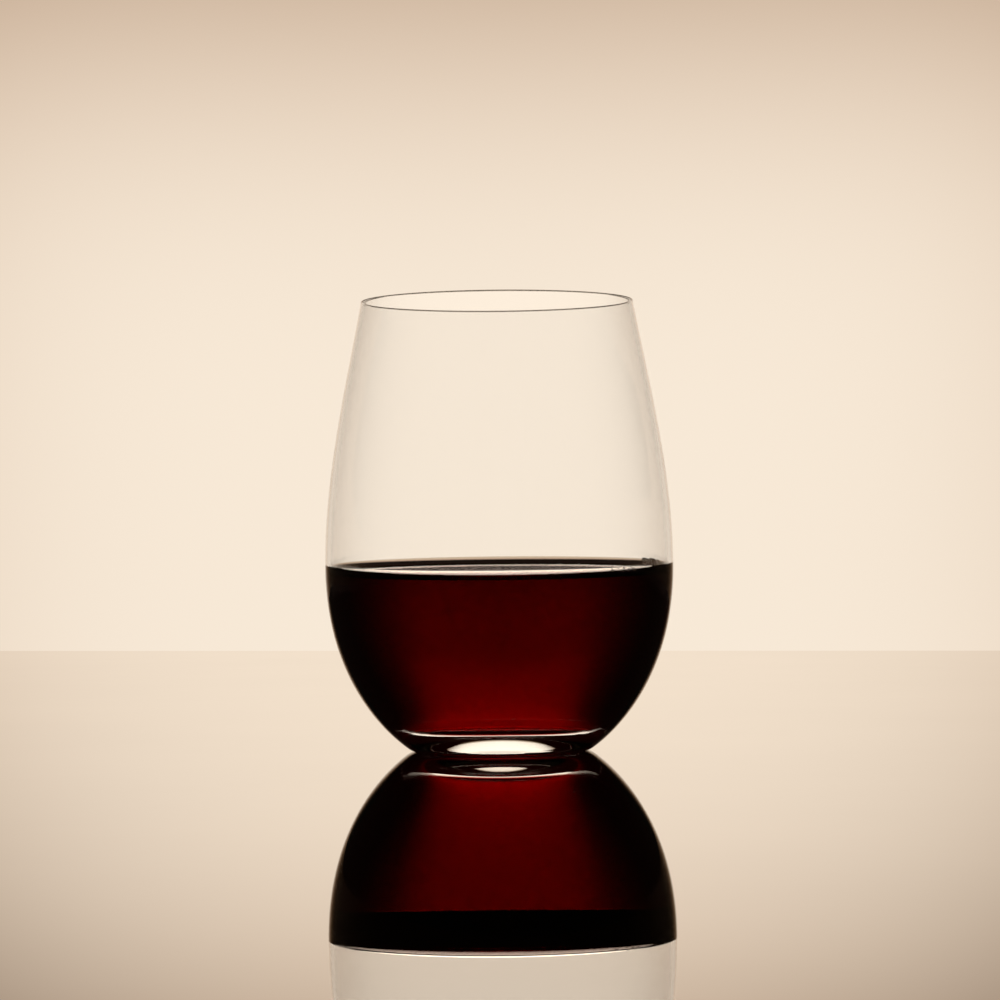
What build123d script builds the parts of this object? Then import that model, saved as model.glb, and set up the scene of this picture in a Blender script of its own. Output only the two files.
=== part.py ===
from build123d import *
import os
from math import cos, radians, sin

# Stemless wine glass with red wine standing in it.
# Lengths in mm, angles in degrees, +Z up, foot on Z = 0, the glass's axis on Z.

# Outside of the bowl
height = 124.2
rim_radius = 37.6
rim_lean = 10.9
belly_radius = 48.1
belly_height = 51.3
foot_radius = 24.55
foot_flare = 56.7

# How far each end of a wall curve holds its own direction
foot_pull = 7.0
lower_belly_pull = 32.8
upper_belly_pull = 24.3
rim_pull = 25.3

# Thickness of the wall and the melted lip
rim_thickness = 0.9
wall = 1.4
lip_rounding = 0.4

# Floor of the bowl: a wide low crown in the middle, then a long curve up into the wall
floor_height = 9.2
floor_radius = 14.15
floor_crown = 0.74
floor_pull = 14.2
inside_belly_pull = 36.4

# Underside of the foot: a very shallow hollow inside a flat ring that is rounded outside
ring_width = 7.45
hollow_depth = 0.25
foot_edge_rounding = 4.8

# Wine
wine_level = 48.6
wine_gap = 0.25
meniscus_height = 2.6
meniscus_land = 0.16
meniscus_rounding = 2.2

os.makedirs("parts", exist_ok=True)

foot_edge = (foot_radius, 0)
foot_aim = (foot_radius + foot_pull * sin(radians(foot_flare)), foot_pull * cos(radians(foot_flare)))
belly = (belly_radius, belly_height)
rim = (rim_radius, height)
rim_aim = (rim_radius + rim_pull * sin(radians(rim_lean)), height - rim_pull * cos(radians(rim_lean)))

hollow_radius = foot_radius - ring_width
inside_belly_radius = belly_radius - wall
mouth_radius = rim_radius - rim_thickness


# The glass: bowl and thick foot in one turned body
with BuildPart() as glass:
    with BuildSketch(Plane.XZ):
        with BuildLine():
            underside = TangentArc((0, hollow_depth), (hollow_radius, 0), tangent=(1, 0))
            ring = Line(underside @ 1, foot_edge)
            outer_low = Bezier(foot_edge, foot_aim, (belly_radius, belly_height - lower_belly_pull), belly)
            outer_high = Bezier(belly, (belly_radius, belly_height + upper_belly_pull), rim_aim, rim)
            lip = Line(rim, (mouth_radius, height))
            inner_high = Bezier(
                (mouth_radius, height),
                (rim_aim[0] - rim_thickness, rim_aim[1]),
                (inside_belly_radius, belly_height + upper_belly_pull),
                (inside_belly_radius, belly_height),
            )
            crown = TangentArc((0, floor_height + floor_crown), (floor_radius, floor_height), tangent=(1, 0))
            inner_low = Bezier(
                crown @ 1,
                crown @ 1 + (crown % 1) * floor_pull,
                (inside_belly_radius, belly_height - inside_belly_pull),
                (inside_belly_radius, belly_height),
            )
            axis = Line(crown @ 0, underside @ 0)
        make_face()
    revolve(axis=Axis.Z)
    # The lip is melted round and the foot's outer edge is eased
    rim_edges = glass.edges().filter_by(GeomType.CIRCLE).group_by(Axis.Z)[-1]
    fillet(rim_edges, radius=lip_rounding)
    foot_edges = glass.edges().filter_by(GeomType.CIRCLE).group_by(Axis.Z)[0]
    fillet(foot_edges.sort_by(SortBy.RADIUS)[-1], radius=foot_edge_rounding)
glass.part.label = "glass"
export_step(glass.part, "parts/glass.step")


# The wine fills the inside of the bowl up to its level, a hair clear of the glass
with BuildPart() as wine:
    with BuildSketch(Plane.XZ):
        with BuildLine():
            centre = Line((0, height), (0, floor_height + floor_crown + wine_gap))
            bed = TangentArc(centre @ 1, (floor_radius, floor_height + wine_gap), tangent=(1, 0))
            side_low = Bezier(
                bed @ 1,
                bed @ 1 + (bed % 1) * floor_pull,
                (inside_belly_radius - wine_gap, belly_height - inside_belly_pull),
                (inside_belly_radius - wine_gap, belly_height),
            )
            side_high = Bezier(
                side_low @ 1,
                (inside_belly_radius - wine_gap, belly_height + upper_belly_pull),
                (rim_aim[0] - rim_thickness - wine_gap, rim_aim[1]),
                (mouth_radius - wine_gap, height),
            )
            top = Line(side_high @ 1, centre @ 0)
            side = Wire([side_low.edge(), side_high.edge()])
            surface = IntersectingLine((0, wine_level), (1, 0), side, mode=Mode.PRIVATE)
        make_face()
        with Locations((0, wine_level + meniscus_height)):
            Rectangle(2 * belly_radius, height, align=(Align.CENTER, Align.MIN), mode=Mode.SUBTRACT)
    revolve(axis=Axis.Z)
    # The level surface lies inside a rim of wine that climbs the wall, clear of the rim's narrower end
    climb = wine.edges().filter_by(GeomType.CIRCLE).sort_by(Axis.Z)[-1].radius
    dish_radius = min(climb, (surface @ 1).X) - meniscus_land
    with BuildSketch(Plane.XY.offset(wine_level)):
        Circle(dish_radius)
    extrude(amount=meniscus_height, mode=Mode.SUBTRACT)
    dish_edge = wine.edges().filter_by(GeomType.CIRCLE).filter_by_position(Axis.Z, wine_level, wine_level)
    fillet(dish_edge, radius=meniscus_rounding)
wine.part.label = "wine"
export_step(wine.part, "parts/wine.step")
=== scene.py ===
import math
import bpy
import numpy as np
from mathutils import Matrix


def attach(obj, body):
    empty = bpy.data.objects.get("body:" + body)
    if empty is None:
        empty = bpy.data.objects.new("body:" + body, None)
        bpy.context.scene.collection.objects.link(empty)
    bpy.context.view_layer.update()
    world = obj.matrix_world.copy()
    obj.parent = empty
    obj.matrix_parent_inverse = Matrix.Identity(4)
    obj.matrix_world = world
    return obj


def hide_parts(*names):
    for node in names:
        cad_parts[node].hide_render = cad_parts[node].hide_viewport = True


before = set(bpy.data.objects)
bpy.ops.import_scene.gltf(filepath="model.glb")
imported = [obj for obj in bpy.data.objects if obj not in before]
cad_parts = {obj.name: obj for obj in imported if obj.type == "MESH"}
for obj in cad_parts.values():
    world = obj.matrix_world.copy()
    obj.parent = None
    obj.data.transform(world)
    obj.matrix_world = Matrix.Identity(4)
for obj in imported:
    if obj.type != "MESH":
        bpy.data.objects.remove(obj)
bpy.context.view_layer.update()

mm = 0.001
print("frame loaded:", sorted(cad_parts))


def linear(hexColour):
    # sRGB hex to the linear values that shaders work in
    parts = [int(hexColour[i:i + 2], 16) / 255 for i in (1, 3, 5)]
    return [p / 12.92 if p <= 0.04045 else ((p + 0.055) / 1.055) ** 2.4 for p in parts] + [1.0]


def addNode(tree, kind, given=None):
    # one node: an input's number or name sets that input, or links it if the value is a node or its output;
    # any other name sets a property of the node
    node = tree.nodes.new(kind)
    for key, value in (given or {}).items():
        if isinstance(value, bpy.types.Node):
            value = value.outputs[0]
        if isinstance(value, bpy.types.NodeSocket):
            tree.links.new(value, node.inputs[key])
        elif isinstance(key, int) or key in node.inputs:
            node.inputs[key].default_value = value
        else:
            setattr(node, key, value)
    return node


def newMaterial(name):
    material = bpy.data.materials.new(name)
    material.use_nodes = True
    material.node_tree.nodes.clear()
    return material, material.node_tree


def newPiece(name, points, faces):
    # a smooth mesh, its points in metres, on an object at the origin
    mesh = bpy.data.meshes.new(name)
    mesh.from_pydata(points, [], faces)
    mesh.polygons.foreach_set("use_smooth", np.ones(len(mesh.polygons), bool))
    mesh.update()
    piece = bpy.data.objects.new(name, mesh)
    bpy.context.scene.collection.objects.link(piece)
    return piece


def cubic(start, startPull, endPull, end, count):
    # cubic curve: the four points weighted by (1-t)^3, 3(1-t)^2 t, 3(1-t) t^2 and t^3
    t = np.linspace(0, 1, count)[:, None]
    p = np.array([start, startPull, endPull, end], float)
    return (1 - t) ** 3 * p[0] + 3 * (1 - t) ** 2 * t * p[1] + 3 * (1 - t) * t ** 2 * p[2] + t ** 3 * p[3]


def eased(before, corner, after, count):
    # parabola that rounds a corner: the three points weighted by (1-t)^2, 2(1-t) t and t^2
    t = np.linspace(0, 1, count)[:, None]
    p = np.array([before, corner, after], float)
    return (1 - t) ** 2 * p[0] + 2 * (1 - t) * t * p[1] + t ** 2 * p[2]


def step(value, start, end):
    # smooth step from 0 at start to 1 at end: 3 t^2 - 2 t^3
    t = np.clip((value - start) / (end - start), 0, 1)
    return t * t * (3 - 2 * t)


def joined(*runs):
    # one outline from several runs, without the points that repeat where they meet
    line = np.vstack(runs)
    same = 1e-4  # mm
    keep = np.append(True, np.linalg.norm(np.diff(line, axis=0), axis=1) > same)
    return line[keep]


def turned(name, outline, segments, shaped):
    # outline (radius, height) in mm carried once round Z: x = r cos a, y = r sin a; its ends lie on the axis
    angle = (np.arange(segments) * 2 * np.pi / segments)[None, :]
    radius, height = outline[1:-1, 0][:, None] + 0 * angle, outline[1:-1, 1][:, None] + 0 * angle
    radius, height = shaped(angle, radius, height)
    rings = np.stack([radius * np.cos(angle), radius * np.sin(angle), height], -1)
    points = np.vstack([[[0, 0, outline[0, 1]]], rings.reshape(-1, 3), [[0, 0, outline[-1, 1]]]]) * mm
    ring = np.arange(len(rings) - 1)[:, None] * segments + 1
    here = np.arange(segments)[None, :]
    after = (here + 1) % segments
    quads = np.stack([ring + here, ring + after, ring + segments + after, ring + segments + here], -1)
    last = (len(rings) - 1) * segments + 1
    low = np.stack([0 * here[0], 1 + after[0], 1 + here[0]], -1)
    high = np.stack([last + here[0], last + after[0], 0 * here[0] + len(points) - 1], -1)
    return newPiece(name, points.tolist(), low.tolist() + quads.reshape(-1, 4).tolist() + high.tolist())


def paintRings(piece, segments, starts):
    # rings of faces take the material slots in turn: each pair is the first ring and its slot
    index = np.arange(len(piece.data.polygons)) // segments
    first, slot = np.array(starts).T
    painted = slot[np.searchsorted(first, index, side="right") - 1]
    piece.data.polygons.foreach_set("material_index", painted.astype(np.int32))


# the glass, in mm and degrees; each rib is how many go round, its share and where it starts, in radians
glass = {
    "height": 124.2, "rimRadius": 37.6, "rimLean": 10.9, "rimPull": 25.3, "rimThickness": 0.75,
    "bellyRadius": 48.1, "bellyHeight": 51.3, "lowerPull": 32.8, "upperPull": 24.3, "wall": 1.4,
    "footRadius": 24.55, "footFlare": 56.7, "footPull": 7.0, "footEase": 1.45,
    "floorHeight": 9.2, "floorRadius": 14.15, "floorCrown": 0.74, "floorPull": 14.2, "insidePull": 36.4,
    "hollowRadius": 17.1, "hollowDepth": 0.25, "hollowEase": 0.9,
    "ribs": ((17, 0.5, 0.6), (29, 0.3, 2.1), (43, 0.2, 4.0)),
    "ribDepth": 0.05, "ribHeight": 12.0, "ribReach": 3.5, "ribFront": 0.15,
    "segments": 256, "outsidePoints": (60, 50), "insidePoints": (64, 110, 22), "finePoints": (400, 500, 4),
    "lipPoints": 15, "hollowPoints": 20, "hollowEasePoints": 6, "heelPoints": 13,
    "leastSpacing": 0.15, "lipSpacing": 0.1,
}

# the wine, in mm and degrees; the table slopes a little, so the wine stands higher at the far side
wine = {
    "level": 48.76, "lean": 1.74, "leanFrom": 34.0, "leanTo": 66.0,
    "capillaryLength": 2.2, "contactAngle": 8.0, "calmSlope": 0.5, "gap": 0.05, "skin": 0.02,
    "segments": 256, "climbPoints": 44, "calmPoints": 16, "sharpFrom": 50.0,
}
climb = 2 * wine["capillaryLength"] * math.sin(math.radians(90 - wine["contactAngle"]) / 2)
wetHeight = wine["level"] + climb


def insideLine(g, countHigh, countLow, countFloor):
    # inside of the bowl from the mouth down to the middle of the floor; the floor's crown is a parabola
    lean = math.radians(g["rimLean"])
    belly = (g["bellyRadius"] - g["wall"], g["bellyHeight"])
    mouth = (g["rimRadius"] - g["rimThickness"], g["height"])
    mouthAim = (mouth[0] + g["rimPull"] * math.sin(lean), g["height"] - g["rimPull"] * math.cos(lean))
    high = cubic(mouth, mouthAim, (belly[0], belly[1] + g["upperPull"]), belly, countHigh)
    dip = 2 * g["floorCrown"] / g["floorRadius"] * g["floorPull"]
    floorEdge = (g["floorRadius"], g["floorHeight"])
    floorAim = (g["floorRadius"] + g["floorPull"], g["floorHeight"] - dip)
    low = cubic(belly, (belly[0], belly[1] - g["insidePull"]), floorAim, floorEdge, countLow)
    r = np.linspace(g["floorRadius"], 0, countFloor)
    floor = np.stack([r, g["floorHeight"] + g["floorCrown"] * (1 - (r / g["floorRadius"]) ** 2)], -1)
    return joined(high, low, floor)


def outsideLine(g, countLow, countHigh):
    # outside of the bowl from the foot's edge up to the rim
    flare, lean = math.radians(g["footFlare"]), math.radians(g["rimLean"])
    foot, belly = (g["footRadius"], 0), (g["bellyRadius"], g["bellyHeight"])
    rim = (g["rimRadius"], g["height"])
    footAim = (foot[0] + g["footPull"] * math.sin(flare), g["footPull"] * math.cos(flare))
    rimAim = (rim[0] + g["rimPull"] * math.sin(lean), g["height"] - g["rimPull"] * math.cos(lean))
    low = cubic(foot, footAim, (belly[0], belly[1] - g["lowerPull"]), belly, countLow)
    high = cubic(belly, (belly[0], belly[1] + g["upperPull"]), rimAim, rim, countHigh)
    return joined(low, high)


def withHeight(line, height, leastSpacing):
    # the falling line with a point put in at the given height, in place of those that lie too close to it
    at = np.argmax(line[:, 1] < height)
    t = (line[at - 1, 1] - height) / (line[at - 1, 1] - line[at, 1])
    point = line[at - 1] + t * (line[at] - line[at - 1])
    keep = np.abs(line[:, 1] - height) > leastSpacing
    return np.vstack([line[:at][keep[:at]], [point], line[at:][keep[at:]]]), int(keep[:at].sum())


wallLine = insideLine(glass, *glass["finePoints"])[::-1]
wallLine = wallLine[np.argmin(wallLine[:, 1]):]


def wallRadius(height):
    # radius of the bowl's inside at a height on its wall
    return np.interp(height, wallLine[:, 1], wallLine[:, 0])


def ribbed(g, angle, height):
    # the tool left shallow ribs at the bottom of the wall: sines round the axis, deepest at the sides,
    # under a bell curve over the height
    wave = sum(share * np.sin(count * angle + start) for count, share, start in g["ribs"])
    band = np.exp(-((height - g["ribHeight"]) / g["ribReach"]) ** 2)
    return g["ribDepth"] * wave * band * (g["ribFront"] + (1 - g["ribFront"]) * np.cos(angle) ** 2)


def leant(w, angle, radius, share):
    # rise of the wine's tilted edge at an angle round the axis
    return share * math.tan(math.radians(w["lean"])) * radius * np.sin(angle)


def glassOutline(g):
    # hollow under the foot, flat ring, outside, melted lip and inside, as one closed line
    outside, inside = outsideLine(g, *g["outsidePoints"]), insideLine(g, *g["insidePoints"])
    lean = math.radians(g["rimLean"])
    lip = g["rimThickness"] / 2
    outTop, inTop = g["height"] - lip * (1 - math.sin(lean)), g["height"] - lip * (1 + math.sin(lean))
    outEnd = np.interp(outTop, outside[:, 1], outside[:, 0])
    inEnd = np.interp(inTop, inside[::-1, 1], inside[::-1, 0])
    outside = np.vstack([outside[outside[:, 1] < outTop - g["lipSpacing"]], [[outEnd, outTop]]])
    inside = np.vstack([[[inEnd, inTop]], inside[inside[:, 1] < inTop - g["lipSpacing"]]])
    middle, half = (outside[-1] + inside[0]) / 2, (outside[-1] - inside[0]) / 2
    turn = np.linspace(0, np.pi, g["lipPoints"])[1:-1, None]
    melted = middle + half * np.cos(turn) + np.array([-half[1], half[0]]) * np.sin(turn)
    # the lip's top is lifted to the rim's full height
    lift = (g["height"] - melted[:, 1].max()) * np.sin(turn[:, 0])
    melted = melted + np.stack([0 * lift, lift], -1)
    # the shallow hollow is a parabola
    r = np.linspace(0, g["hollowRadius"] - g["hollowEase"], g["hollowPoints"])
    hollow = np.stack([r, g["hollowDepth"] * (1 - (r / g["hollowRadius"]) ** 2)], -1)
    ringStart = (g["hollowRadius"] + g["hollowEase"], 0)
    edge = eased(hollow[-1], (g["hollowRadius"], 0), ringStart, g["hollowEasePoints"])
    outside = outside[np.linalg.norm(outside - outside[0], axis=1) > g["footEase"]]
    heel = eased((g["footRadius"] - g["footEase"], 0), (g["footRadius"], 0), outside[0], g["heelPoints"])
    shell = joined(hollow, edge, heel, outside, melted)
    inside, wetAt = withHeight(inside, wetHeight, g["leastSpacing"])
    return np.vstack([shell, inside]), len(shell) - len(melted), len(shell), len(shell) + wetAt


outline, lipFrom, insideFrom, wetFrom = glassOutline(glass)


def shapeGlass(angle, radius, height):
    # inside of the bowl: the rings near the wine's edge follow that edge, and the ribs lie low on the wall
    inside = np.arange(len(outline))[1:-1, None] >= insideFrom
    share = step(height, wine["leanFrom"], wetHeight) * (1 - step(height, wetHeight, wine["leanTo"]))
    moved = height + leant(wine, angle, radius, share)
    onWall = inside & (share > 0)
    slid = np.where(onWall, wallRadius(moved), radius)
    slid = slid + np.where(inside & (height < wine["leanFrom"]), ribbed(glass, angle, height), 0)
    return slid, np.where(onWall, moved, height)


tumbler = turned("blown_glass", outline, glass["segments"], shapeGlass)
paintRings(tumbler, glass["segments"], [(0, 0), (lipFrom, 2), (insideFrom, 0), (wetFrom, 1)])
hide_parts("glass")
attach(tumbler, "glass")
print("glass:", len(tumbler.data.polygons), "faces")


def wineWall(w, g, top):
    # floor and wall of the bowl up to a height, from the middle outwards, moved inwards by the gap
    inside, at = withHeight(insideLine(g, *g["insidePoints"]), top, g["leastSpacing"])
    wall = inside[at:][::-1]
    tangent = np.gradient(wall, axis=0)
    tangent /= np.linalg.norm(tangent, axis=1)[:, None]
    wall = wall + w["gap"] * np.stack([-tangent[:, 1], tangent[:, 0]], -1)
    wall[0, 0], wall[-1, 1] = 0, top
    return wall


def wineSurface(w, edge, sunk):
    # the climbing edge: with slope s, height above the level is 2 c sin(s/2) and distance from the wall is
    # c (ln cot(s/4) - 2 cos(s/2)) less that at the wall, with c the capillary length; then the calm middle
    slope = np.geomspace(math.radians(90 - w["contactAngle"]), math.radians(w["calmSlope"]), w["climbPoints"])
    c = w["capillaryLength"]
    rise = 2 * c * np.sin(slope / 2)
    run = c * (np.log(1 / np.tan(slope / 4)) - 2 * np.cos(slope / 2))
    climbing = np.stack([edge - run + run[0], w["level"] + rise], -1)
    calm = np.linspace(climbing[-1], (0, w["level"]), w["calmPoints"])
    return joined(climbing, calm) - [0, sunk]


# the body of the wine ends a hair under its surface, and a clear skin of wine lies on it
wetWall = wineWall(wine, glass, wetHeight - 2 * wine["skin"])
edgeRadius = wetWall[-1, 0]
poured, topFrom = joined(wetWall, wineSurface(wine, edgeRadius, 2 * wine["skin"])), len(wetWall)


def edgeAt(angle):
    # radius of the wine's leaning edge at an angle round the axis
    return wallRadius(wetHeight + leant(wine, angle, edgeRadius, 1)) - wine["gap"]


def shapeWine(angle, radius, height):
    # the wall's rings slide on the bowl up to the leaning edge, and the surface leans with it
    top = np.arange(len(poured))[1:-1, None] >= topFrom
    share = np.where(top, 1, step(height, wine["leanFrom"], wetHeight))
    moved = height + leant(wine, angle, radius, share)
    onWall = wallRadius(moved) - (wallRadius(height) - radius)
    slid = np.where(height < wine["leanFrom"], radius + ribbed(glass, angle, height), onWall)
    return np.where(top, radius * edgeAt(angle) / edgeRadius, slid), moved


def shapeSkin(angle, radius, height):
    # the skin leans with the wine, and its rings grow with the leaning edge
    return radius * edgeAt(angle) / edgeRadius, height + leant(wine, angle, radius, 1)


pour = turned("red_wine", poured, wine["segments"], shapeWine)
underSkin = wineSurface(wine, edgeRadius, wine["skin"])[::-1]
skinLine = np.vstack([underSkin, wineSurface(wine, edgeRadius, 0)])
skin = turned("wine_skin", skinLine, wine["segments"], shapeSkin)
paintRings(skin, wine["segments"], [(0, 0), (len(underSkin), 1)])
for piece in (pour, skin):
    # the thin edge where the surface meets the wall stays sharp
    piece.data.set_sharp_from_angle(angle=math.radians(wine["sharpFrom"]))
    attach(piece, "wine")
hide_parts("wine")
print("wine:", len(pour.data.polygons), "faces; its skin:", len(skin.data.polygons))


# bubbles left at the wine's edge: a cluster at the far right and single ones along the near side;
# in mm, and degrees from +X; the crowd is the power that draws the cluster to the wall
froth = {
    "cluster": 80, "clusterFrom": 10.0, "clusterTo": 25.0, "clusterSize": (0.45, 1.0),
    "clusterDepth": 1.3, "clusterCrowd": 1.6, "clusterPile": 0.1,
    "single": 18, "singleFrom": -52.0, "singleTo": -34.0, "singleSize": (0.3, 0.55),
    "singleDepth": 0.05, "singleDrop": (0.1, 1.0),
    # the bubbles' dark brown body and its density are painted shade
    "offWall": 0.05, "body": "#402018", "bodyPerMetre": 900.0, "around": 8, "over": 6, "seed": 4,
}


def bubbles(f, w):
    # each bubble is a small ball: a grid of angles round and over it, carried to its place on the wine's edge
    chance = np.random.default_rng(f["seed"])
    angle = np.radians(np.append(chance.uniform(f["clusterFrom"], f["clusterTo"], f["cluster"]),
                                 chance.uniform(f["singleFrom"], f["singleTo"], f["single"])))
    size = np.append(chance.uniform(*f["clusterSize"], f["cluster"]),
                     chance.uniform(*f["singleSize"], f["single"])) / 2
    crowded = chance.uniform(0, 1, f["cluster"]) ** f["clusterCrowd"] * f["clusterDepth"]
    inward = size + np.append(crowded, np.full(f["single"], f["singleDepth"]))
    edge = edgeAt(angle)
    radius = edge - inward - f["offWall"]
    # height of the wine's surface at that distance from the wall, read from its own outline
    top = wineSurface(w, edgeRadius, 0)
    surface = np.interp(radius / edge * top[0, 0], top[::-1, 0], top[::-1, 1]) + leant(w, angle, radius, 1)
    # the cluster is piled up from there past the wine's edge, highest at its middle; the others hang below
    edgeHeight = wetHeight + leant(w, angle, edge, 1)
    middle = 1 - (2 * (np.degrees(angle) - f["clusterFrom"]) / (f["clusterTo"] - f["clusterFrom"]) - 1) ** 2
    pile = surface + chance.uniform(0, 1, len(angle)) * (edgeHeight + f["clusterPile"] * middle - surface)
    hung = edgeHeight - chance.uniform(*f["singleDrop"], len(angle))
    height = np.where(np.arange(len(angle)) < f["cluster"], pile, hung)
    centre = np.stack([radius * np.cos(angle), radius * np.sin(angle), height], -1)
    turn = np.arange(f["around"]) * 2 * np.pi / f["around"]
    tip = np.linspace(-np.pi / 2, np.pi / 2, f["over"] + 1)[1:-1]
    ball = np.stack([np.outer(np.cos(tip), np.cos(turn)), np.outer(np.cos(tip), np.sin(turn)),
                     np.outer(np.sin(tip), np.ones(f["around"]))], -1).reshape(-1, 3)
    ball = np.vstack([ball, [[0, 0, -1], [0, 0, 1]]])
    points = (centre[:, None, :] + size[:, None, None] * ball[None]).reshape(-1, 3) * mm
    here = np.arange(f["around"])
    after = (here + 1) % f["around"]
    row = np.arange(f["over"] - 2)[:, None] * f["around"]
    above = row + f["around"]
    quads = np.stack([row + here, row + after, above + after, above + here], -1).reshape(-1, 4)
    last = (f["over"] - 2) * f["around"]
    low = np.stack([0 * here + len(ball) - 2, after, here], -1)
    high = np.stack([last + here, last + after, 0 * here + len(ball) - 1], -1)
    start = np.arange(len(centre))[:, None, None] * len(ball)
    faces = [(part + start).reshape(-1, part.shape[1]).tolist() for part in (quads, low, high)]
    return newPiece("froth", points.tolist(), faces[0] + faces[1] + faces[2])


foam = bubbles(froth, wine)
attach(foam, "wine")
print("froth:", len(foam.data.polygons), "faces")


# clear blown glass, fire-polished: colourless, hard bright edges, a trace of warmth in its thick foot;
# smears of the cloth about 22 mm long, and a swell in the blown wall about 17 mm long and 0.004 mm deep
glassFinish = {
    # the lip's grey is painted shade for the dark line along its tight curve
    "ior": 1.5, "body": "#F6F2E8", "bodyPerMetre": 3.0, "lip": "#7E7A74",
    "smearSize": 22.2, "smear": 0.03, "swellSize": 16.7, "swell": 0.004,
}
# red wine, clear and still: ruby where it is thin, nearly black through the whole bowl; its film drifts in
# patches about 11 mm long
wineFinish = {
    "ior": 1.345, "body": "#F50000", "bodyPerMetre": 365.0,
    "smearSize": 11.1, "smear": 0.012,
}
# the part of the smear pattern that shows, from its faintest to its full strength
smearShows = (0.45, 0.75)


def polished(name, f, ior, tone="#FFFFFF", hasBody=True):
    # a clear body: smears change its polish a little, and a long shallow swell bends what is seen through it
    material, tree = newMaterial(name)
    place = addNode(tree, "ShaderNodeTexCoord").outputs["Object"]
    smears = addNode(tree, "ShaderNodeTexNoise", {
        "Vector": place, "Scale": 1 / (f["smearSize"] * mm), "Detail": 4.0, "Roughness": 0.6})
    polish = addNode(tree, "ShaderNodeMapRange", {
        0: smears, 1: smearShows[0], 2: smearShows[1], 3: 0.0, 4: f["smear"]})
    surface = addNode(tree, "ShaderNodeBsdfPrincipled", {
        "Base Color": linear(tone), "IOR": ior, "Transmission Weight": 1.0, "Roughness": polish})
    if "swell" in f:
        swell = addNode(tree, "ShaderNodeTexNoise", {
            "Vector": place, "Scale": 1 / (f["swellSize"] * mm), "Detail": 1.0})
        bend = addNode(tree, "ShaderNodeBump", {
            "Strength": 1.0, "Distance": f["swell"] * mm, "Height": swell})
        tree.links.new(bend.outputs[0], surface.inputs["Normal"])
    end = addNode(tree, "ShaderNodeOutputMaterial", {"Surface": surface})
    if hasBody:
        inside = addNode(tree, "ShaderNodeVolumeAbsorption", {
            "Color": linear(f["body"]), "Density": f["bodyPerMetre"]})
        tree.links.new(inside.outputs[0], end.inputs["Volume"])
    return material


# where glass and wine touch, the step between them is the ratio of the two, so the wet face all but vanishes;
# the lip was melted round, and its grey tone is painted shade that stands in for the dark line that so tight
# a curve shows
glassIor, wineIor = glassFinish["ior"], wineFinish["ior"]
for material in (polished("clear soda-lime glass, fire-polished", glassFinish, glassIor),
                 polished("clear soda-lime glass, wetted by wine", glassFinish, glassIor / wineIor),
                 polished("clear soda-lime glass, melted lip, grey painted shade", glassFinish, glassIor, glassFinish["lip"])):
    tumbler.data.materials.append(material)
# the glass's wet face bends the light for the wine's body, so that body bends none itself; its surface does
pour.data.materials.append(polished("red wine, still", wineFinish, 1.0))
skin.data.materials.append(polished("red wine, under its surface", wineFinish, 1.0, hasBody=False))
skin.data.materials.append(polished("red wine, open surface", wineFinish, wineIor, hasBody=False))
# the bubbles' dark body stands in for the shade inside their heap, which shows bright points on dark
frothFinishWithPaintedShade = {**wineFinish, "body": froth["body"], "bodyPerMetre": froth["bodyPerMetre"]}
foam.data.materials.append(polished("red wine, bubbles at its edge, dark painted shade", frothFinishWithPaintedShade, wineIor))
print("materials done")


# the table top, in metres, but its cloudy haze in mm
tableTop = {
    "near": -3.3, "far": 0.672, "left": -0.61, "right": 3.3, "farSkew": -0.23, "below": 0.00005,
    "lacquer": "#F3E8DA", "unlit": "#161310", "mirrorTint": "#FFFBF7",
    "mirror": 0.972, "mirrorLeast": 0.6, "mirrorFade": 0.0070, "mirrorSide": 2.9,
    "eyeLine": 0.795, "eyeLeast": 0.3,
    "hazeSize": 143.0, "hazeShows": (0.35, 0.7), "haze": 0.985,
    "grazing": (0.74, 0.82), "glossLeast": 0.04, "drawn": (0.55, 0.78),
    "mirrorWide": (0.15, 0.24), "mirrorFan": 0.18,
    "strip": (0.07, 0.1), "stripFrom": (0.05, 0.08), "stripFaces": 6.5, "mirroredOnce": 0.5,
}


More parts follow.
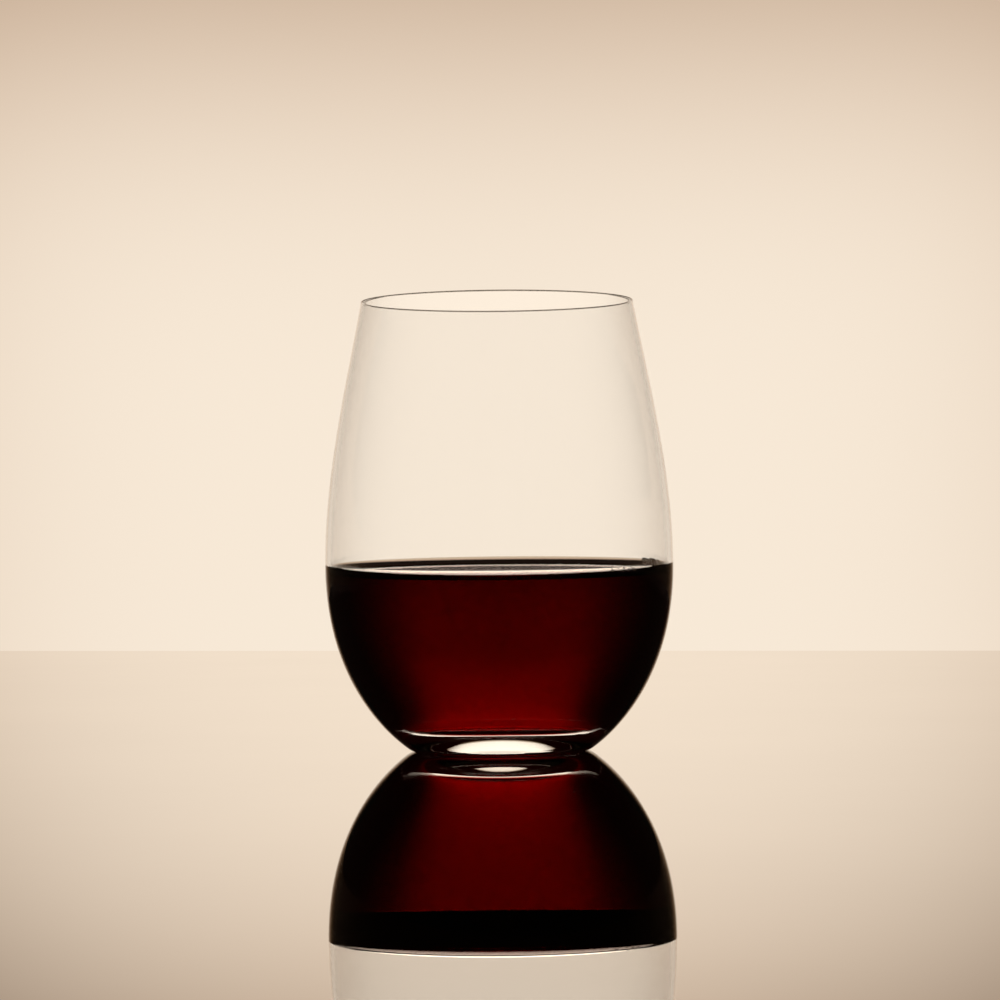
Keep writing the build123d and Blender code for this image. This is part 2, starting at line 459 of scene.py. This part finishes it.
def layTable(t):
    # a hair under the foot, so that the two faces never lie in one plane; its far edge runs askew
    low = -t["below"]
    corners = [(t["left"], t["near"], low), (t["right"], t["near"], low),
               (t["right"], t["far"] + t["farSkew"] * t["right"], low),
               (t["left"], t["far"] + t["farSkew"] * t["left"], low)]
    table = newPiece("table_top", corners, [(0, 1, 2, 3)])
    # from above it is pale matt lacquer; at a grazing look it mirrors, less near its front and its ends
    material, tree = newMaterial("pale lacquered table top, polished")
    place = addNode(tree, "ShaderNodeTexCoord").outputs["Object"]
    x, y = addNode(tree, "ShaderNodeSeparateXYZ", {0: place}).outputs[:2]
    aside = addNode(tree, "ShaderNodeMath", {"operation": "ABSOLUTE", 0: x})
    # the mirror loses a share that grows with the way aside squared and falls with the way out cubed
    loss = addNode(tree, "ShaderNodeMath", {"operation": "POWER", 0: aside, 1: 2.0})
    loss = addNode(tree, "ShaderNodeMath", {
        "operation": "MULTIPLY_ADD", 0: loss, 1: t["mirrorSide"], 2: t["mirrorFade"]})
    out = addNode(tree, "ShaderNodeMath", {"operation": "ADD", 0: y, 1: t["eyeLine"]})
    out = addNode(tree, "ShaderNodeMath", {"operation": "MAXIMUM", 0: out, 1: t["eyeLeast"]})
    out = addNode(tree, "ShaderNodeMath", {"operation": "POWER", 0: out, 1: 3.0})
    loss = addNode(tree, "ShaderNodeMath", {"operation": "DIVIDE", 0: loss, 1: out})
    strength = addNode(tree, "ShaderNodeMath", {"operation": "SUBTRACT", 0: t["mirror"], 1: loss})
    strength = addNode(tree, "ShaderNodeMath", {"operation": "MAXIMUM", 0: strength, 1: t["mirrorLeast"]})
    # wiping left a faint cloudy haze on it
    cloud = addNode(tree, "ShaderNodeTexNoise", {
        "Vector": place, "Scale": 1 / (t["hazeSize"] * mm), "Detail": 5.0, "Roughness": 0.6})
    haze = addNode(tree, "ShaderNodeMapRange", {
        0: cloud, 1: t["hazeShows"][0], 2: t["hazeShows"][1], 3: 1.0, 4: t["haze"]})
    strength = addNode(tree, "ShaderNodeMath", {"operation": "MULTIPLY", 0: strength, 1: haze})
    tint = addNode(tree, "ShaderNodeMix", {
        "data_type": "RGBA", 0: strength, 6: linear("#000000"), 7: linear(t["mirrorTint"])})
    gloss = addNode(tree, "ShaderNodeBsdfGlossy", {"Roughness": 0.0, "Color": tint.outputs[2]})
    # it mirrors at grazing looks only, in a fan that widens away from the glass
    look = addNode(tree, "ShaderNodeLayerWeight", {"Blend": 0.5})
    grazing = addNode(tree, "ShaderNodeMapRange", {
        "interpolation_type": "SMOOTHSTEP", 0: look.outputs["Facing"],
        1: t["grazing"][0], 2: t["grazing"][1], 3: t["glossLeast"], 4: 1.0})
    ahead = addNode(tree, "ShaderNodeMath", {"operation": "MAXIMUM", 0: y, 1: 0.0})
    wide = addNode(tree, "ShaderNodeMath", {
        "operation": "MULTIPLY_ADD", 0: ahead, 1: -t["mirrorFan"], 2: aside})
    fan = addNode(tree, "ShaderNodeMapRange", {
        "interpolation_type": "SMOOTHSTEP", 0: wide,
        1: t["mirrorWide"][0], 2: t["mirrorWide"][1], 3: 1.0, 4: 0.0})
    # it mirrors in looks along Y alone and is matt in looks across them, so the sides see a plain pale table
    across = addNode(tree, "ShaderNodeCombineXYZ", {0: 1.0})
    grainwise = addNode(tree, "ShaderNodeLayerWeight", {"Blend": 0.5, "Normal": across})
    drawn = addNode(tree, "ShaderNodeMapRange", {
        "interpolation_type": "SMOOTHSTEP", 0: grainwise.outputs["Facing"],
        1: t["drawn"][0], 2: t["drawn"][1], 3: 0.0, 4: 1.0})
    share = addNode(tree, "ShaderNodeMath", {"operation": "MULTIPLY", 0: grazing, 1: fan})
    share = addNode(tree, "ShaderNodeMath", {"operation": "MULTIPLY", 0: share, 1: drawn})
    # looks that were mirrored find it dark, painted shade as dark as the room is, and so do looks through the
    # wine's far edge, which have passed more faces than those straight through it, in a painted shadow strip
    # behind the glass
    path = addNode(tree, "ShaderNodeLightPath").outputs
    strip = addNode(tree, "ShaderNodeMapRange", {
        "interpolation_type": "SMOOTHSTEP", 0: aside, 1: t["strip"][0], 2: t["strip"][1], 3: 1.0, 4: 0.0})
    behind = addNode(tree, "ShaderNodeMapRange", {
        "interpolation_type": "SMOOTHSTEP", 0: y, 1: t["stripFrom"][0], 2: t["stripFrom"][1], 3: 0.0, 4: 1.0})
    farEdge = addNode(tree, "ShaderNodeMath", {
        "operation": "GREATER_THAN", 0: path["Transmission Depth"], 1: t["stripFaces"]})
    strip = addNode(tree, "ShaderNodeMath", {"operation": "MULTIPLY", 0: strip, 1: behind})
    strip = addNode(tree, "ShaderNodeMath", {"operation": "MULTIPLY", 0: strip, 1: farEdge})
    mirrored = addNode(tree, "ShaderNodeMath", {
        "operation": "GREATER_THAN", 0: path["Glossy Depth"], 1: t["mirroredOnce"]})
    unlit = addNode(tree, "ShaderNodeMath", {"operation": "MAXIMUM", 0: strip, 1: mirrored})
    matt = addNode(tree, "ShaderNodeBsdfDiffuse", {"Color": linear(t["lacquer"])})
    # the unlit colour is painted shade
    dark = addNode(tree, "ShaderNodeBsdfDiffuse", {"Color": linear(t["unlit"])})
    under = addNode(tree, "ShaderNodeMixShader", {0: unlit, 1: matt, 2: dark})
    mixed = addNode(tree, "ShaderNodeMixShader", {0: share, 1: under, 2: gloss})
    addNode(tree, "ShaderNodeOutputMaterial", {"Surface": mixed})
    table.data.materials.append(material)


# the studio: angles in degrees, up from level and round from +Y; strengths as shares of white.
# Faces are those that a look has passed: up to four in the clear bowl, six straight through the wine and
# eight through its thin edge
studio = {
    "paper": "#FFF0DD", "paperShade": "#FFC289", "paperStrength": 0.935, "sideStrength": 0.85, "room": 0.012,
    "panelWidth": 16.7, "panelWidthClear": 50.0, "panelHeight": 13.1, "panelHeightThrough": 18.0,
    "panelFoot": (-2.6, -1.0), "panelDim": (-2.5, 5.0), "panelLow": 0.55,
    "throughGlass": 1.15, "thinEdge": 2.4,
    "softboxStrength": 1.35, "softboxFrom": (11.0, 15.0), "softboxThrough": 3.0, "softboxTo": (28.0, 34.0),
    "softboxSide": (2.0, 21.0), "softboxSideClear": 12.0,
    "sky": "#FFF6EA", "skyLow": 0.55, "skyHigh": 0.6,
    "bowlFaces": (3.5, 4.5), "wineFaces": 6.0, "edgeFaces": 8.0, "within": 0.5,
    "mirroredOnce": 0.5, "mirroredTwice": 1.5,
}


def lightStudio(s):
    # a lit paper panel behind the glass, one at its left, a softbox over the first and a dark room;
    # a soft sky lights the table
    world = bpy.data.worlds.new("studio")
    world.use_nodes = True
    tree = world.node_tree
    tree.nodes.clear()
    place = addNode(tree, "ShaderNodeTexCoord")
    x, y, z = addNode(tree, "ShaderNodeSeparateXYZ", {0: place.outputs["Generated"]}).outputs
    path = addNode(tree, "ShaderNodeLightPath").outputs
    through, faces, mirrors = path["Is Transmission Ray"], path["Transmission Depth"], path["Glossy Depth"]

    # how far up a look goes, and how far round it is from the panel behind and from the one at the left
    rise = addNode(tree, "ShaderNodeMath", {"operation": "ARCSINE", 0: z})
    rise = addNode(tree, "ShaderNodeMath", {"operation": "DEGREES", 0: rise})
    aside = addNode(tree, "ShaderNodeMath", {"operation": "ABSOLUTE", 0: x})
    along = addNode(tree, "ShaderNodeMath", {"operation": "ABSOLUTE", 0: y})
    leftwards = addNode(tree, "ShaderNodeMath", {"operation": "MULTIPLY", 0: x, 1: -1.0})
    behind = addNode(tree, "ShaderNodeMath", {"operation": "ARCTAN2", 0: aside, 1: y})
    behind = addNode(tree, "ShaderNodeMath", {"operation": "DEGREES", 0: behind})
    beside = addNode(tree, "ShaderNodeMath", {"operation": "ARCTAN2", 0: along, 1: leftwards})
    beside = addNode(tree, "ShaderNodeMath", {"operation": "DEGREES", 0: beside})

    # what a look has been through
    clear = addNode(tree, "ShaderNodeMath", {"operation": "LESS_THAN", 0: faces, 1: s["bowlFaces"][1]})
    clear = addNode(tree, "ShaderNodeMath", {"operation": "MULTIPLY", 0: clear, 1: through})
    inWine = addNode(tree, "ShaderNodeMath", {"operation": "GREATER_THAN", 0: faces, 1: s["bowlFaces"][1]})
    once = addNode(tree, "ShaderNodeMath", {"operation": "GREATER_THAN", 0: mirrors, 1: s["mirroredOnce"]})
    twice = addNode(tree, "ShaderNodeMath", {"operation": "GREATER_THAN", 0: mirrors, 1: s["mirroredTwice"]})

    # a panel's light falls upwards as 1 / (1 + q^4) and sideways as 1 / (1 + q^5), with q the angle over
    # the panel's reach, which is longer through the glass
    width = addNode(tree, "ShaderNodeMath", {
        "operation": "MULTIPLY_ADD", 0: clear, 1: s["panelWidthClear"] - s["panelWidth"], 2: s["panelWidth"]})
    reach = addNode(tree, "ShaderNodeMath", {
        "operation": "MULTIPLY_ADD", 0: through,
        1: s["panelHeightThrough"] - s["panelHeight"], 2: s["panelHeight"]})
    up = addNode(tree, "ShaderNodeMath", {"operation": "MAXIMUM", 0: rise, 1: 0.0})
    up = addNode(tree, "ShaderNodeMath", {"operation": "DIVIDE", 0: up, 1: reach})
    up = addNode(tree, "ShaderNodeMath", {"operation": "POWER", 0: up, 1: 4.0})
    up = addNode(tree, "ShaderNodeMath", {"operation": "ADD", 0: up, 1: 1.0})
    up = addNode(tree, "ShaderNodeMath", {"operation": "DIVIDE", 0: s["paperStrength"], 1: up})
    panels = []
    for bearing in (behind, beside):
        fall = addNode(tree, "ShaderNodeMath", {"operation": "DIVIDE", 0: bearing, 1: width})
        fall = addNode(tree, "ShaderNodeMath", {"operation": "POWER", 0: fall, 1: 5.0})
        fall = addNode(tree, "ShaderNodeMath", {"operation": "ADD", 0: fall, 1: 1.0})
        panels.append(addNode(tree, "ShaderNodeMath", {"operation": "DIVIDE", 0: up, 1: fall}))

    # the softbox fades at its foot, top and sides; through glass it starts lower, and if clear it is wider
    lowered = addNode(tree, "ShaderNodeMath", {
        "operation": "MULTIPLY_ADD", 0: through, 1: s["softboxThrough"], 2: rise})
    spread = addNode(tree, "ShaderNodeMath", {
        "operation": "MULTIPLY_ADD", 0: clear, 1: -s["softboxSideClear"], 2: behind})
    box = addNode(tree, "ShaderNodeMapRange", {
        "interpolation_type": "SMOOTHSTEP", 0: lowered,
        1: s["softboxFrom"][0], 2: s["softboxFrom"][1], 3: 0.0, 4: 1.0})
    for angle, ends in ((rise, s["softboxTo"]), (spread, s["softboxSide"])):
        fade = addNode(tree, "ShaderNodeMapRange", {
            "interpolation_type": "SMOOTHSTEP", 0: angle, 1: ends[0], 2: ends[1], 3: 1.0, 4: 0.0})
        box = addNode(tree, "ShaderNodeMath", {"operation": "MULTIPLY", 0: box, 1: fade})

    # the brightest of the panels and the room, and the softbox over them; mirrored looks miss the left panel
    side = addNode(tree, "ShaderNodeMath", {"operation": "SUBTRACT", 0: 1.0, 1: once})
    side = addNode(tree, "ShaderNodeMath", {"operation": "MULTIPLY", 0: side, 1: s["sideStrength"]})
    side = addNode(tree, "ShaderNodeMath", {"operation": "MULTIPLY", 0: side, 1: panels[1]})
    total = addNode(tree, "ShaderNodeMath", {"operation": "MAXIMUM", 0: panels[0], 1: side})
    total = addNode(tree, "ShaderNodeMath", {"operation": "MAXIMUM", 0: total, 1: s["room"]})
    more = addNode(tree, "ShaderNodeMath", {"operation": "SUBTRACT", 0: s["softboxStrength"], 1: total})
    total = addNode(tree, "ShaderNodeMath", {"operation": "MULTIPLY_ADD", 0: box, 1: more, 2: total})

    # looks through glass are lifted, but not those through the clear bowl in the table's mirror
    bowl = addNode(tree, "ShaderNodeMath", {"operation": "GREATER_THAN", 0: faces, 1: s["bowlFaces"][0]})
    bowl = addNode(tree, "ShaderNodeMath", {"operation": "MULTIPLY", 0: bowl, 1: clear})
    bowl = addNode(tree, "ShaderNodeMath", {"operation": "MULTIPLY", 0: bowl, 1: once})
    lift = addNode(tree, "ShaderNodeMath", {"operation": "SUBTRACT", 0: through, 1: bowl})
    lift = addNode(tree, "ShaderNodeMath", {
        "operation": "MULTIPLY_ADD", 0: lift, 1: s["throughGlass"] - 1, 2: 1.0})

    # for looks through the wine that were mirrored twice the panel's foot is dark, and the whole studio is
    # where they leave by a mirror
    foot = addNode(tree, "ShaderNodeMapRange", {
        "interpolation_type": "SMOOTHSTEP", 0: rise,
        1: s["panelFoot"][0], 2: s["panelFoot"][1], 3: 0.0, 4: 1.0})
    foot = addNode(tree, "ShaderNodeMath", {"operation": "MULTIPLY", 0: foot, 1: through})
    foot = addNode(tree, "ShaderNodeMath", {"operation": "SUBTRACT", 0: 1.0, 1: foot})
    deep = addNode(tree, "ShaderNodeMath", {"operation": "MULTIPLY", 0: inWine, 1: twice})
    kept = addNode(tree, "ShaderNodeMath", {"operation": "MULTIPLY", 0: deep, 1: foot})
    kept = addNode(tree, "ShaderNodeMath", {"operation": "SUBTRACT", 0: 1.0, 1: kept})

    # the thin edge of the wine, seen through both walls and its surface, is lifted so that it shines
    fewer = addNode(tree, "ShaderNodeMath", {"operation": "SUBTRACT", 0: 1.0, 1: twice})
    edge = addNode(tree, "ShaderNodeMath", {
        "operation": "COMPARE", 0: faces, 1: s["edgeFaces"], 2: s["within"]})
    edge = addNode(tree, "ShaderNodeMath", {"operation": "MULTIPLY", 0: edge, 1: fewer})
    edge = addNode(tree, "ShaderNodeMath", {"operation": "MULTIPLY", 0: edge, 1: through})
    edge = addNode(tree, "ShaderNodeMath", {
        "operation": "MULTIPLY_ADD", 0: edge, 1: s["thinEdge"] - 1, 2: 1.0})

    # straight through the wine the panel is dimmer low down
    dim = addNode(tree, "ShaderNodeMapRange", {
        "interpolation_type": "SMOOTHSTEP", 0: rise,
        1: s["panelDim"][0], 2: s["panelDim"][1], 3: 1 - s["panelLow"], 4: 0.0})
    body = addNode(tree, "ShaderNodeMath", {
        "operation": "COMPARE", 0: faces, 1: s["wineFaces"], 2: s["within"]})
    body = addNode(tree, "ShaderNodeMath", {"operation": "MULTIPLY", 0: body, 1: through})
    body = addNode(tree, "ShaderNodeMath", {"operation": "MULTIPLY", 0: body, 1: dim})
    body = addNode(tree, "ShaderNodeMath", {"operation": "SUBTRACT", 0: 1.0, 1: body})

    seen = total
    for share in (lift, kept, edge, body):
        seen = addNode(tree, "ShaderNodeMath", {"operation": "MULTIPLY", 0: seen, 1: share})
    # the paper is warmer where it is less lit
    lit = addNode(tree, "ShaderNodeMath", {"operation": "DIVIDE", 0: total, 1: s["paperStrength"]})
    lit = addNode(tree, "ShaderNodeMath", {"operation": "MINIMUM", 0: lit, 1: 1.0})
    tone = addNode(tree, "ShaderNodeMix", {
        "data_type": "RGBA", 0: lit, 6: linear(s["paperShade"]), 7: linear(s["paper"])})
    shown = addNode(tree, "ShaderNodeBackground", {"Color": tone.outputs[2], "Strength": seen})
    sky = addNode(tree, "ShaderNodeMath", {"operation": "MAXIMUM", 0: z, 1: 0.0})
    sky = addNode(tree, "ShaderNodeMath", {
        "operation": "MULTIPLY_ADD", 0: sky, 1: s["skyHigh"], 2: s["skyLow"]})
    light = addNode(tree, "ShaderNodeBackground", {"Color": linear(s["sky"]), "Strength": sky})
    # camera, mirrored and refracted looks see the studio; the rest is the light on the table
    looks = addNode(tree, "ShaderNodeMath", {
        "operation": "ADD", 0: path["Is Camera Ray"], 1: path["Is Glossy Ray"]})
    looks = addNode(tree, "ShaderNodeMath", {"operation": "ADD", 0: looks, 1: through})
    looks = addNode(tree, "ShaderNodeMath", {"operation": "MINIMUM", 0: looks, 1: 1.0})
    mixed = addNode(tree, "ShaderNodeMixShader", {0: looks, 1: light, 2: shown})
    addNode(tree, "ShaderNodeOutputWorld", {"Surface": mixed})
    bpy.context.scene.world = world


layTable(tableTop)
lightStudio(studio)
print("stage done")


# the camera, in mm and degrees, its clip in metres: a little below the middle of the glass, looking up by
# two thirds of a degree
camera = {
    "away": 795.2, "eyeHeight": 59.96, "aside": 0.28, "pitch": 0.66, "roll": 0.556,
    "lens": 103.5, "sensor": 36.0, "clip": (0.01, 50.0),
}


def setCamera(c):
    data = bpy.data.cameras.new("camera")
    data.lens, data.sensor_width, data.sensor_fit = c["lens"], c["sensor"], "HORIZONTAL"
    data.clip_start, data.clip_end = c["clip"]
    holder = bpy.data.objects.new("camera", data)
    holder.location = (c["aside"] * mm, -c["away"] * mm, c["eyeHeight"] * mm)
    holder.rotation_euler = (math.radians(90 + c["pitch"]), math.radians(c["roll"]), 0)
    bpy.context.scene.collection.objects.link(holder)
    bpy.context.scene.camera = holder


setCamera(camera)
scene = bpy.context.scene
scene.view_settings.view_transform = "Standard"
# glass, wine and glass again take many bends and reflections before the light gets through
scene.cycles.max_bounces = 32
scene.cycles.transmission_bounces = 32
scene.cycles.glossy_bounces = 16
print("camera done")
